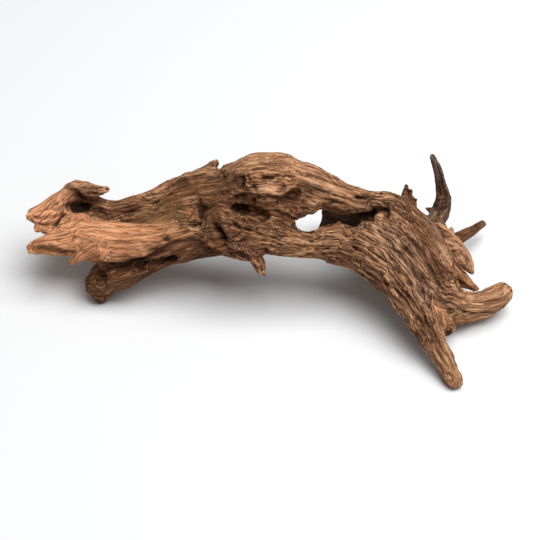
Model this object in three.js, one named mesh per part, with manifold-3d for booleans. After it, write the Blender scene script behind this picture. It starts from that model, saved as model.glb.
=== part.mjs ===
// A weathered piece of mopani wood, as sold for an aquarium: a split, hollowed trunk that arches from a
// broken plank end over a through hole to a crown of roots. It grew as one piece, so it is one solid.
// The trunk is a bundle of strands of wood that have grown into each other, each with flutes along its
// grain. Free twigs, splinters and tips stand out of it, rot has hollowed it, and its three feet are worn
// flat. Millimetres, +Z up. X runs along the trunk, from the plank end to the roots.

import * as THREE from 'three';
import { mergeVertices } from 'three/addons/utils/BufferGeometryUtils.js';
import Module from 'manifold-3d';

// Driving dimensions. A strand's stations are [x, y, z, half width, half depth]: the half depth lies along
// the strand's face direction, which is up and to the front, and the half width lies across it.

// The upper limb: the back wall of the split trunk, the hump, and the arm over the through hole.
const UPPER_LIMB = [
  [-172, 28, 60, 6, 7],
  [-148, 16, 65, 8, 10],
  [-109, 13, 74, 14, 12],
  [-83, 16, 83, 17, 14],
  [-60, 15, 91, 17.5, 15],
  [-44, 12, 95.5, 16.3, 17],
  [-27, 12, 104, 19, 21],
  [-2, 8, 110, 25, 24],
  [23, 7, 106, 22.5, 22],
  [46, 6, 97, 19, 20],
  [69, 4, 88, 15, 17],
  [90, 3, 82, 13, 15],
  [111, 5, 74, 15, 17],
];
// A splinter on the ridge of the back wall.
const RIDGE_SPLINTER = [
  [-76, 22, 90, 9, 8],
  [-58, 28, 102, 6, 6],
  [-49, 31, 109, 3, 3],
];
// The valley floor, between the back wall and the plank.
const VALLEY = [
  [-168, 12, 53, 8, 9],
  [-150, 6, 55, 9, 9],
  [-119, 1, 60, 10, 10],
  [-94, 0, 66, 10, 10],
  [-66, -1, 74, 10, 11],
  [-36, -4, 84, 9, 11],
];
// The flat split face at the broken end, with the lower prong as its tip.
const PLANK = [
  [-222, -27, 53, 6, 6],
  [-208, -22, 54, 10, 8],
  [-193, -15, 51, 13.5, 8.5],
  [-175, -12, 54.5, 21, 9],
  [-156, -16.5, 55.5, 24.5, 9],
  [-137, -19.5, 55.5, 22, 10],
  [-119, -21.5, 56.5, 18.5, 11],
  [-100, -22.5, 60.5, 14.5, 11],
  [-82, -22.5, 65.5, 13.5, 12],
  [-63, -20, 70.5, 12.5, 12],
  [-45, -16, 77, 9, 10],
];
const UNDER_PRONG = [
  [-160, -29, 59, 9, 8],
  [-174, -36, 54, 6, 6],
  [-183, -41, 50, 3, 3],
];
// The upper prong: a broken slab that rises to a peak and turns back as a horn.
const SLAB = [
  [-222, 4, 57, 13, 8],
  [-207, 16, 62, 12, 8],
  [-194, 24, 70, 10, 9],
  [-182, 26, 82, 8, 8],
];
const HORN = [
  [-194, 24, 70, 7, 7],
  [-182, 26, 82, 8, 8],
  [-169, 20, 86, 6, 6],
  [-158, 18, 86, 5, 5],
  [-151, 20, 85, 3.5, 3.5],
];
const HORN_ROOT = [
  [-188, 28, 74, 9, 8],
  [-175, 26, 68, 8, 8],
  [-160, 22, 66, 7, 8],
];
const SLAB_ROOT = [
  [-212, 2, 54, 9, 8],
  [-195, 6, 56, 11, 9],
  [-171, 8, 59, 9, 9],
];
// The heart of the trunk, behind the plank and the knot.
const CORE = [
  [-197, 29, 46, 12, 12],
  [-161, 18, 48, 17, 17],
  [-113, 15, 55, 19, 18],
  [-66, 10, 66, 20, 19],
  [-28, 0, 78, 20, 19],
  [6, -12, 82, 15, 15],
];
// The root under the plank, which reaches the ground near the broken end.
const LEFT_LEG = [
  [-166, -32, 17, 15, 13],
  [-154, -36, 22, 15.5, 13],
  [-135, -37, 30, 12, 13],
  [-111, -34, 42, 9.5, 12],
  [-87, -31, 50, 8.5, 12],
  [-64, -30, 57, 9, 12],
  [-41, -29, 64, 11, 14],
];
const LEFT_HEEL = [
  [-161, -37, 20, 13, 12],
  [-158, -41, 1, 7.5, 7.5],
];
const UNDER_WALL = [
  [-154, -26, 40, 12, 9],
  [-122, -24, 48, 14, 11],
  [-94, -22, 57, 13, 11],
  [-64, -20, 66, 13, 12],
  [-44, -22, 72, 10, 12],
];
// The knot and the lower limb, which runs on into the front leg.
const LOWER_LIMB = [
  [-72, -14, 72, 9, 10],
  [-56, -22, 78, 14, 14],
  [-36, -31, 82, 20, 17],
  [-16, -34, 78, 18, 17],
  [14, -38, 75, 15, 15],
  [36, -41, 72, 12, 13],
  [60, -33, 67, 19, 15],
  [87, -41, 57, 17, 17],
  [109, -56, 50, 17, 18],
  [124, -75, 42, 16, 17],
  [136, -93, 32, 14, 15],
  [148, -115, 20, 11, 12],
  [157, -132, 12, 9.5, 10],
  [164, -145, 5, 9, 9],
];
const KNOT = [
  [-44, -36, 84, 11, 8],
  [-30, -38, 88, 12, 9],
];
const FIN = [
  [-61, -20, 82, 6, 12],
  [-52, -30, 74, 6, 11],
  [-43, -38, 64, 3, 6],
];
const BRIDGE = [
  [-50, -11, 86, 9, 10],
  [-23, -17, 88, 11, 12],
  [0, -18, 88, 12, 13],
  [14, -18, 87, 9, 12],
  [20, -18, 86, 5, 8],
];
const BROW = [
  [-4, -12, 96, 12, 12],
  [14, -10, 94, 10, 11],
  [30, -6, 91, 6, 8],
];
const KNOT_FOOT = [
  [-46, -33, 69, 9, 9],
  [-27, -39, 67, 12, 10],
  [-17, -43, 63, 8, 8],
];
const THORN = [
  [-24, -40, 66, 8, 7],
  [-12, -45, 61, 7.5, 7],
  [-7.5, -52, 54, 5, 5],
  [-6, -57, 51, 2.2, 2.2],
];
// The crown, where the limbs meet and fan out into roots.
const CROWN_PLATE = [
  [86, -26, 66, 18, 14],
  [106, -31, 62, 31, 15],
  [126, -42, 53, 38, 16],
  [142, -58, 42, 31, 15],
  [154, -74, 32, 19, 13],
];
const CROWN_FRONT = [
  [84, -30, 62, 13, 13],
  [104, -42, 58, 17, 15],
  [121, -60, 49, 18, 15],
  [135, -79, 38, 15, 14],
  [146, -98, 27, 11, 11],
];
const CROWN_EDGE = [
  [90, 5, 80, 12, 13],
  [111, 8, 76, 12, 14],
  [128, 1, 70, 13, 14],
  [142, -12, 62, 13, 14],
  [153, -26, 52, 12, 12],
  [164, -37, 42, 10, 10],
];
const FINGER = [
  [153, -26, 52, 9, 9],
  [164, -37, 42, 9, 9],
  [176, -42, 32, 7.5, 8],
  [185, -45, 25, 4.6, 5],
  [192, -45, 20, 2.3, 2.5],
];
const CROWN_MIDDLE = [
  [100, -3, 73, 14, 14],
  [122, -16, 66, 16, 14],
  [137, -31, 56, 16, 14],
  [148, -46, 46, 14, 13],
  [158, -58, 38, 11, 11],
];
const RIGHT_ROOT = [
  [100, -16, 68, 16, 14],
  [117, -32, 60, 22, 15],
  [131, -48, 51, 22, 15],
  [143, -62, 42, 18, 15],
  [156, -71, 35, 14, 14],
  [173, -72, 28, 12.7, 12],
  [190, -68, 23, 13, 11],
  [206, -60, 22, 13, 11],
  [216, -50, 23, 10.5, 10],
];
const ROOT_LEDGE = [
  [152, -82, 26, 8, 8],
  [169, -81, 18, 6, 6],
  [186, -75, 14, 4.6, 5],
  [203, -69, 12, 3.5, 4],
];
const ROOT_WEB = [
  [136, -76, 38, 14, 11],
  [152, -86, 26, 12, 9],
  [160, -94, 17, 10, 8],
];
const LEG_LUMP = [
  [120, -80, 40, 6, 8],
  [128, -91, 26, 6, 7],
  [132, -97, 17, 3, 3],
];
const BEAK = [
  [151, -6, 56, 12, 11],
  [165, -14, 50, 11, 10],
  [177, -21, 42, 9, 9],
  [184, -28, 35, 6.5, 6.5],
  [188, -34, 31, 2.8, 3],
];
const ANTLER = [
  [144, -2, 50, 10, 11],
  [157, 17, 47, 9, 9],
  [164, 31, 50, 9, 8],
  [165, 37, 60, 7.6, 7],
  [162, 42, 74, 5.3, 5],
  [157, 46, 90, 4.3, 4.3],
  [152, 50, 101, 3, 3],
];
const ANTLER_BARB = [
  [157, 28, 50, 4, 4],
  [148, 31, 52, 1.4, 1.4],
];
const STUB = [
  [150, -14, 44, 12, 11],
  [168, 2, 34, 8.5, 8],
  [184, 18, 28, 6.2, 6],
  [198, 33, 22, 4.8, 5],
  [208, 46, 18, 4, 4],
];
const EDGE_NUB = [
  [164, -2, 50, 5, 5],
  [159, 12, 56, 3, 3],
];
// A rounded nub that stands in the inner end of the through hole.
const INNER_NUB = [
  [110, -2, 62, 7, 7],
  [100.5, -6.5, 74, 6.5, 6.5],
];
const SPIKES = [
  [[170, -9, 50, 3.6, 3.6], [169, -1, 58, 1.6, 1.6]],
  [[123, 8, 70, 6.5, 5], [127, 26, 85, 1.7, 2]],
  [[128, 7, 68, 6, 5], [131.5, 23, 83, 1.7, 2]],
  [[132, 4, 66, 5, 4], [136, 16, 76, 1.8, 2]],
];
// The root behind the through hole, which is the third foot.
const BACK_ROOT = [
  [122, -4, 58, 18, 16],
  [96, 20, 46, 15, 14],
  [74, 39, 29, 12.5, 12],
  [58, 53, 14, 11, 10],
];
const BACK_SPUR = [
  [78, 34, 36, 11, 11],
  [56, 45, 36, 9.5, 9.5],
];
const BACK_TOE = [
  [62, 50, 14, 9, 9],
  [54, 55, 2, 7.5, 7.5],
];

// Hollows: centre, half sizes along X, up the face and into it, and the turn within the face in degrees.
const HOLLOWS = [
  { at: [-25.5, -24.8, 101.2], size: [12, 6.2, 22], turn: -12 },
  { at: [-13, -26.5, 99.5], size: [15, 5.4, 15], turn: -14 },
  { at: [18, -20, 112], size: [12, 5, 14], turn: 30 },
  { at: [-179, 10, 73], size: [11, 5.5, 15], turn: 8 },
  { at: [-159, -46, 32], size: [9, 8, 9], turn: 20 },
  { at: [-110, -45, 50], size: [27, 3.6, 12], turn: 15 },
  { at: [99, -10.5, 90], size: [11, 8.5, 10], turn: -10 },
  { at: [95.5, -14, 82], size: [14, 6.5, 18], turn: -5 },
];

const FACE = new THREE.Vector3(0, -1, 1).normalize();
const LEVEL = new THREE.Vector3(0, -0.25, 1).normalize(); // the way the flat split shelf faces
const CELL = 6.8; // spacing of the points at which the trunk's surface is found
const BLEND = 4.5; // how far neighbouring strands of the trunk grow into each other
const REACH = 16; // how far past its own surface a strand is felt
const TRACE_STEP = 7; // spacing of a strand's sections
const LOBES = 9; // flutes round a strand
const FLUTE = 0.06; // flute depth as a share of the radius
const SWELL = 0.05; // slow change of girth along a strand, as a share of the radius
const SWELL_PERIODS = [25, 40]; // how far along a strand each slow change repeats
const TWIG_SIDES = 8;
const FLOOR_BLOCK = 700;

// The strands that grow together into the trunk, and the free twigs, splinters and tips on it. A square
// below 1 makes a section boxy, a broken strand starts bluntly, and face is the direction of its half depth.
const TRUNK = [
  { stations: UPPER_LIMB },
  { stations: VALLEY, face: LEVEL },
  { stations: PLANK, face: LEVEL, square: 0.7, broken: true },
  { stations: SLAB, square: 0.8, broken: true },
  { stations: HORN_ROOT },
  { stations: SLAB_ROOT },
  { stations: CORE },
  { stations: LEFT_LEG, broken: true },
  { stations: LEFT_HEEL },
  { stations: UNDER_WALL },
  { stations: LOWER_LIMB },
  { stations: KNOT },
  { stations: KNOT_FOOT },
  { stations: BRIDGE },
  { stations: BROW },
  { stations: CROWN_PLATE },
  { stations: CROWN_FRONT },
  { stations: CROWN_EDGE },
  { stations: CROWN_MIDDLE },
  { stations: RIGHT_ROOT },
  { stations: ROOT_WEB },
  { stations: BACK_ROOT },
  { stations: BACK_SPUR },
  { stations: BACK_TOE },
];
const TWIGS = [
  { stations: RIDGE_SPLINTER },
  { stations: UNDER_PRONG },
  { stations: HORN },
  { stations: FIN },
  { stations: THORN },
  { stations: FINGER },
  { stations: ROOT_LEDGE },
  { stations: LEG_LUMP },
  { stations: BEAK },
  { stations: ANTLER },
  { stations: ANTLER_BARB },
  { stations: STUB },
  { stations: EDGE_NUB },
  ...SPIKES.map((stations) => ({ stations })),
];

const wasm = await Module();
wasm.setup();

function seededRandom(seed) {
  let state = seed;
  return () => {
    state = (state + 0x6d2b79f5) | 0;
    let t = Math.imul(state ^ (state >>> 15), 1 | state);
    t = (t + Math.imul(t ^ (t >>> 7), 61 | t)) ^ t;
    return ((t ^ (t >>> 14)) >>> 0) / 4294967296;
  };
}

// The girth of a strand round and along it: flutes that drift along the grain, and a slow lopsided swell.
function girthFormula(seed) {
  const random = seededRandom(seed);
  const turn = () => random() * 2 * Math.PI;
  const flutes = [];
  for (let count = 2; count <= LOBES; count++) {
    flutes.push({ count, phase: turn(), drift: (random() - 0.5) * 0.06 });
  }
  const swells = SWELL_PERIODS.map((period) => {
    return { rate: (2 * Math.PI) / period, phase: turn(), side: turn() };
  });
  return (angle, along) => {
    let girth = 1;
    for (const f of flutes) {
      girth += (FLUTE / Math.sqrt(LOBES - 1)) * Math.cos(f.count * angle + f.phase + f.drift * along);
    }
    for (const s of swells) {
      girth += SWELL * Math.cos(s.rate * along + s.phase) * Math.cos(angle + s.side);
    }
    return girth;
  };
}

// The sections of a strand: its centre, its axes, its half sizes and how far along the strand it lies.
function traceStrand({ stations, face = FACE, square = 1, broken = false }, seed) {
  const line = new THREE.CatmullRomCurve3(stations.map(([x, y, z]) => new THREE.Vector3(x, y, z)));
  const sizes = new THREE.CatmullRomCurve3(stations.map(([, , , w, d]) => new THREE.Vector3(w, d, 0)));
  const length = line.getLength();
  const count = Math.max(2, Math.round(length / TRACE_STEP));
  const sections = [];
  for (let i = 0; i <= count; i++) {
    const u = i / count;
    const tangent = line.getTangent(u);
    const depthAxis = face.clone().addScaledVector(tangent, -face.dot(tangent)).normalize();
    const widthAxis = new THREE.Vector3().crossVectors(depthAxis, tangent);
    const { x: width, y: depth } = sizes.getPoint(u);
    const centre = line.getPoint(u);
    sections.push({ centre, tangent, depthAxis, widthAxis, width, depth, along: u * length });
  }
  const cap = ({ width, depth }, share) => Math.min(width, depth) * share;
  return {
    sections,
    square,
    girth: girthFormula(seed),
    startCap: cap(sections[0], broken ? 0.1 : 0.8),
    endCap: cap(sections[count], 0.8),
  };
}

// A closed loft through a strand's sections.
function loft({ sections, square, girth, startCap, endCap }) {
  const points = [];
  const rings = [];
  const addRing = ({ centre, tangent, depthAxis, widthAxis, width, depth, along }, scale, push) => {
    const ring = [];
    for (let i = 0; i < TWIG_SIDES; i++) {
      const angle = (2 * Math.PI * i) / TWIG_SIDES;
      const [c, s] = [Math.cos(angle), Math.sin(angle)];
      const r = scale * girth(angle, along);
      const p = centre.clone().addScaledVector(tangent, push);
      p.addScaledVector(widthAxis, r * width * Math.sign(c) * Math.abs(c) ** square);
      p.addScaledVector(depthAxis, r * depth * Math.sign(s) * Math.abs(s) ** square);
      ring.push(points.push(p) - 1);
    }
    rings.push(ring);
  };
  const first = sections[0];
  const final = sections[sections.length - 1];
  addRing(first, 0.7, -startCap * 0.7);
  for (const section of sections) addRing(section, 1, 0);
  addRing(final, 0.7, endCap * 0.7);

  const index = [];
  const last = rings.length - 1;
  const start = points.push(first.centre.clone().addScaledVector(first.tangent, -startCap)) - 1;
  const end = points.push(final.centre.clone().addScaledVector(final.tangent, endCap)) - 1;
  for (let i = 0; i < TWIG_SIDES; i++) {
    const j = (i + 1) % TWIG_SIDES;
    index.push(start, rings[0][j], rings[0][i]);
    for (let k = 0; k < last; k++) {
      const [a, b, c, d] = [rings[k][i], rings[k][j], rings[k + 1][j], rings[k + 1][i]];
      index.push(a, b, c, a, c, d);
    }
    index.push(end, rings[last][i], rings[last][j]);
  }
  const geometry = new THREE.BufferGeometry().setFromPoints(points);
  geometry.setIndex(index);
  return geometry;
}

// How far a point lies outside a strand, or inside it where negative, from the strand's nearest section.
function distanceTo({ sections, square, girth, startCap, endCap }, p) {
  let nearest = 0;
  let share = 0;
  let least = Infinity;
  const edge = new THREE.Vector3();
  const offset = new THREE.Vector3();
  for (let i = 0; i < sections.length - 1; i++) {
    edge.subVectors(sections[i + 1].centre, sections[i].centre);
    offset.subVectors(p, sections[i].centre);
    const t = THREE.MathUtils.clamp(offset.dot(edge) / edge.lengthSq(), 0, 1);
    const gap = offset.addScaledVector(edge, -t).lengthSq();
    if (gap < least) {
      least = gap;
      nearest = i;
      share = t;
    }
  }
  const a = sections[nearest];
  const b = sections[nearest + 1];
  offset.lerpVectors(a.centre, b.centre, share).subVectors(p, offset);
  const mix = (from, to) => from + (to - from) * share;
  const acrossW = mix(offset.dot(a.widthAxis), offset.dot(b.widthAxis));
  const acrossD = mix(offset.dot(a.depthAxis), offset.dot(b.depthAxis));
  const beyond = mix(offset.dot(a.tangent), offset.dot(b.tangent));
  const girthHere = girth(Math.atan2(acrossD, acrossW), mix(a.along, b.along));
  const w = Math.abs(acrossW) / (mix(a.width, b.width) * girthHere);
  const d = Math.abs(acrossD) / (mix(a.depth, b.depth) * girthHere);
  let ratio = (w ** (2 / square) + d ** (2 / square)) ** (square / 2);
  if (nearest === 0 && share === 0) ratio = Math.hypot(ratio, beyond / startCap);
  if (nearest === sections.length - 2 && share === 1) ratio = Math.hypot(ratio, beyond / endCap);
  const far = offset.length();
  return ratio < 1e-6 ? -Math.min(a.width, a.depth) : far - far / ratio;
}

// The smaller of two distances, rounded where they are close, so that the strands grow into each other.
function blend(a, b) {
  const overlap = Math.max(BLEND - Math.abs(a - b), 0) / BLEND;
  return Math.min(a, b) - (overlap * overlap * BLEND) / 4;
}

// The common skin of the strands: one point in each grid cell that the surface passes through, joined
// across grid edges.
function growTogether(strands) {
  const box = new THREE.Box3();
  const boxes = strands.map(({ sections }) => {
    const own = new THREE.Box3();
    for (const { centre, width, depth } of sections) {
      const girth = new THREE.Vector3().setScalar(2.6 * Math.max(width, depth));
      own.union(new THREE.Box3().setFromCenterAndSize(centre, girth));
    }
    box.union(own);
    return own.expandByScalar(REACH);
  });
  box.expandByScalar(2 * CELL);
  const count = box.getSize(new THREE.Vector3()).divideScalar(CELL).ceil();
  const [nx, ny, nz] = [count.x + 1, count.y + 1, count.z + 1];
  const steps = [1, nx, nx * ny];
  const field = new Float32Array(nx * ny * nz).fill(REACH);
  const at = (i, j, k) => i + nx * (j + ny * k);
  const position = (i, j, k) => new THREE.Vector3(i, j, k).multiplyScalar(CELL).add(box.min);

  strands.forEach((strand, n) => {
    const low = boxes[n].min.clone().sub(box.min).divideScalar(CELL).ceil();
    const high = boxes[n].max.clone().sub(box.min).divideScalar(CELL).floor();
    for (let k = Math.max(low.z, 1); k <= Math.min(high.z, nz - 2); k++) {
      for (let j = Math.max(low.y, 1); j <= Math.min(high.y, ny - 2); j++) {
        for (let i = Math.max(low.x, 1); i <= Math.min(high.x, nx - 2); i++) {
          const cell = at(i, j, k);
          field[cell] = blend(field[cell], distanceTo(strand, position(i, j, k)));
        }
      }
    }
  });

  // Two solid corners that meet only across a grid square's diagonal are joined by filling the square.
  for (let filled = true; filled;) {
    filled = false;
    for (let axis = 0; axis < 3; axis++) {
      const u = steps[(axis + 1) % 3];
      const v = steps[(axis + 2) % 3];
      for (let c = 0; c + u + v < field.length; c++) {
        const [p, q] = [field[c] < 0, field[c + u] < 0];
        const [r, s] = [field[c + v] < 0, field[c + u + v] < 0];
        if (p !== s || q !== r || p === q) continue;
        for (const corner of p ? [c + u, c + v] : [c, c + u + v]) field[corner] = -0.5;
        filled = true;
      }
    }
  }

  const corners = [];
  for (let n = 0; n < 8; n++) corners.push([n & 1, (n >> 1) & 1, n >> 2]);
  const points = [];
  const pointOf = new Int32Array(field.length).fill(-1);
  for (let k = 0; k < nz - 1; k++) {
    for (let j = 0; j < ny - 1; j++) {
      for (let i = 0; i < nx - 1; i++) {
        const sum = new THREE.Vector3();
        let crossings = 0;
        for (const [x, y, z] of corners) {
          const from = field[at(i + x, j + y, k + z)];
          for (const [dx, dy, dz] of [[1, 0, 0], [0, 1, 0], [0, 0, 1]]) {
            if (x + dx > 1 || y + dy > 1 || z + dz > 1) continue;
            const to = field[at(i + x + dx, j + y + dy, k + z + dz)];
            if (from < 0 === to < 0) continue;
            const t = from / (from - to);
            sum.add(position(i + x + dx * t, j + y + dy * t, k + z + dz * t));
            crossings += 1;
          }
        }
        if (crossings) pointOf[at(i, j, k)] = points.push(sum.divideScalar(crossings)) - 1;
      }
    }
  }

  const index = [];
  for (let c = 0; c < field.length; c++) {
    for (let axis = 0; axis < 3; axis++) {
      const along = steps[axis];
      const [u, v] = [steps[(axis + 1) % 3], steps[(axis + 2) % 3]];
      if (c + along >= field.length || field[c] < 0 === field[c + along] < 0) continue;
      const quad = [c - u - v, c - v, c, c - u].map((cell) => pointOf[cell]);
      if (field[c] >= 0) quad.reverse();
      const [p, q, r, s] = quad;
      const shorter = points[p].distanceTo(points[r]) < points[q].distanceTo(points[s]);
      if (shorter) index.push(p, q, r, p, r, s);
      else index.push(q, r, s, q, s, p);
    }
  }
  const geometry = new THREE.BufferGeometry().setFromPoints(points);
  geometry.setIndex(index);
  return geometry;
}

function hollow({ at, size, turn }) {
  const geometry = new THREE.SphereGeometry(1, 10, 7);
  geometry.scale(...size);
  geometry.rotateZ(THREE.MathUtils.degToRad(turn));
  geometry.rotateX(Math.PI / 4);
  geometry.translate(...at);
  return geometry;
}

function solidOf(geometry) {
  const bare = geometry.clone();
  bare.deleteAttribute('normal');
  bare.deleteAttribute('uv');
  const merged = mergeVertices(bare, 1e-4);
  return new wasm.Manifold(new wasm.Mesh({
    numProp: 3,
    vertProperties: new Float32Array(merged.getAttribute('position').array),
    triVerts: new Uint32Array(merged.getIndex().array),
  }));
}

function geometryOf(solid) {
  const mesh = solid.getMesh();
  const geometry = new THREE.BufferGeometry();
  const positions = new Float32Array(mesh.vertProperties);
  geometry.setAttribute('position', new THREE.BufferAttribute(positions, 3));
  geometry.setIndex(new THREE.BufferAttribute(new Uint32Array(mesh.triVerts), 1));
  return geometry;
}

const floor = new THREE.BoxGeometry(FLOOR_BLOCK, FLOOR_BLOCK, FLOOR_BLOCK);
floor.translate(0, 0, -FLOOR_BLOCK / 2);

let wood = solidOf(growTogether(TRUNK.map((strand, n) => traceStrand(strand, n + 1))));
TWIGS.forEach((strand, n) => {
  wood = wood.add(solidOf(loft(traceStrand(strand, TRUNK.length + n + 1))));
});
for (const pit of HOLLOWS) wood = wood.subtract(solidOf(hollow(pit)));
const nub = traceStrand({ stations: INNER_NUB }, TRUNK.length + TWIGS.length + 1);
wood = wood.add(solidOf(loft(nub)));
wood = wood.subtract(solidOf(floor));

const geometry = geometryOf(wood);
geometry.computeBoundingBox();
const middle = geometry.boundingBox.getCenter(new THREE.Vector3());
geometry.translate(-middle.x, -middle.y, 0);

const material = new THREE.MeshStandardMaterial({ color: 0x8a5a36, roughness: 0.85, metalness: 0 });
const mesh = new THREE.Mesh(geometry, material);
mesh.name = 'mopani_wood';

const part = new THREE.Group();
part.add(mesh);

export default part;
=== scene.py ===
"""Mopani wood for an aquarium: a weathered, fluted piece that arches over a hole and ends in roots."""

import math

import bpy
import numpy as np
from bpy.props import FloatProperty, FloatVectorProperty, IntProperty, PointerProperty
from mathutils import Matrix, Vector
from mathutils.bvhtree import BVHTree


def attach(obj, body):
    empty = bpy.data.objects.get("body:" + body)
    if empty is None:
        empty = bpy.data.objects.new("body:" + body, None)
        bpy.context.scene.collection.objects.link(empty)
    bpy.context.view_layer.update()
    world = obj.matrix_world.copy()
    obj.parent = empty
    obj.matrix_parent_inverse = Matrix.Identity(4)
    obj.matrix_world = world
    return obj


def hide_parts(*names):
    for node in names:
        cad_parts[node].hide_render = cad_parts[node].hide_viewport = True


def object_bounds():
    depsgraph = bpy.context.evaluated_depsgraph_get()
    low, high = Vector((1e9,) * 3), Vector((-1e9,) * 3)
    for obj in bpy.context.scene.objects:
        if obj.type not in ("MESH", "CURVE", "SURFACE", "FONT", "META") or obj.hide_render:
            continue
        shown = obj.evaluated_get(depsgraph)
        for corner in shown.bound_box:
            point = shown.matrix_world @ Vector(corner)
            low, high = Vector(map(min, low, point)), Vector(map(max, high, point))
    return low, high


bl_info = {
    "name": "Mopani wood",
    "version": (1, 0, 0),
    "blender": (4, 5, 0),
    "location": "View3D > Sidebar > Mopani wood",
    "description": "Carves, combs and colours a weathered piece of mopani wood on a pale studio floor",
    "category": "Object",
}

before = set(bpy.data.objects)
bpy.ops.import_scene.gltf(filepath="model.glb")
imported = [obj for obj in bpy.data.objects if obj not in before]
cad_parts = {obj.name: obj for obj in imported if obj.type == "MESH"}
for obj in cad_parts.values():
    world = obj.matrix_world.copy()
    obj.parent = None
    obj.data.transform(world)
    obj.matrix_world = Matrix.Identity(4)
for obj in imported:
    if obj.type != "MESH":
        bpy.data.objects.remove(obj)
CAD_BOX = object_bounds()
MM = 0.001

# The viewing camera: it looks at AIM from in front and above, in millimetres.
# Picture points are in a square of PICTURE units.
AIM = np.array((1.603, 44.72, 0.0))
CAMERA_AWAY = 1300.0
CAMERA_TILT = math.radians(45)
PICTURE = 540.0
LENS = 90.0
SENSOR = 36.0
FOCAL = PICTURE * LENS / SENSOR
CAMERA_CLIP = 50.0

VIEW_BACK = np.array((0.0, -math.cos(CAMERA_TILT), math.sin(CAMERA_TILT)))
VIEW_UP = np.array((0.0, math.sin(CAMERA_TILT), math.cos(CAMERA_TILT)))
VIEW_RIGHT = np.array((1.0, 0.0, 0.0))
EYE = AIM + CAMERA_AWAY * VIEW_BACK

# The studio, in metres.
FLOOR_HALF = 6.0
KEY_PLACE = (0.85, -0.1, 2.6)
KEY_AIM = (0.0, 0.02, 0.04)

# Noise in the wood: seed and spacing, in millimetres. A third number is its reach along the fibres.
FLUTES = (11, 7.5, 70.0)
GROOVES = (12, 4.4, 55.0)
RIBS = (13, 2.4, 34.0)
FIBRES = (14, 1.9, 26.0)
PATCHES = (21, 22.0)
BREAKS = (22, 9.0)
LUMPS = (31, 5.5)
SMALL_LUMPS = (32, 3.2)
LATTICE = 64  # values along each side, a power of two
COMB_STEP = 2.4

# Smoothing: shares of the way to the mean of the neighbours, first inwards and then outwards.
SHRINK_AND_SWELL = (0.5, -0.52)
SMALLEST = 1e-9  # the least length to divide by

# Carving: the step along a route in picture units, the half width in millimetres below which a stroke
# gathers dirt and painted shade, and the least cosine between a carved point's normal and the way to the eye.
ROUTE_STEP = 1.5
NARROW = 2.5
FACES_EYE = -0.1

# Feelers that find hidden places: seed, number, and start and reach in millimetres.
FEELER_SEED = 5
FEELERS = 9
FEELER_START = 0.4
FEELER_REACH = 22.0

# The material's fibres: the way across them is level with NEARLY_UP, LINE_SHIFT keeps two lines from
# looking alike, and WOBBLE is how far they stray along and across, in millimetres.
NEARLY_UP = (0.0, 0.3, 1.0)
LINE_SHIFT = 137.0
WOBBLE = (0.0, 3.0, 3.0)
BUMP_DEPTH = 0.003  # in metres
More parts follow.
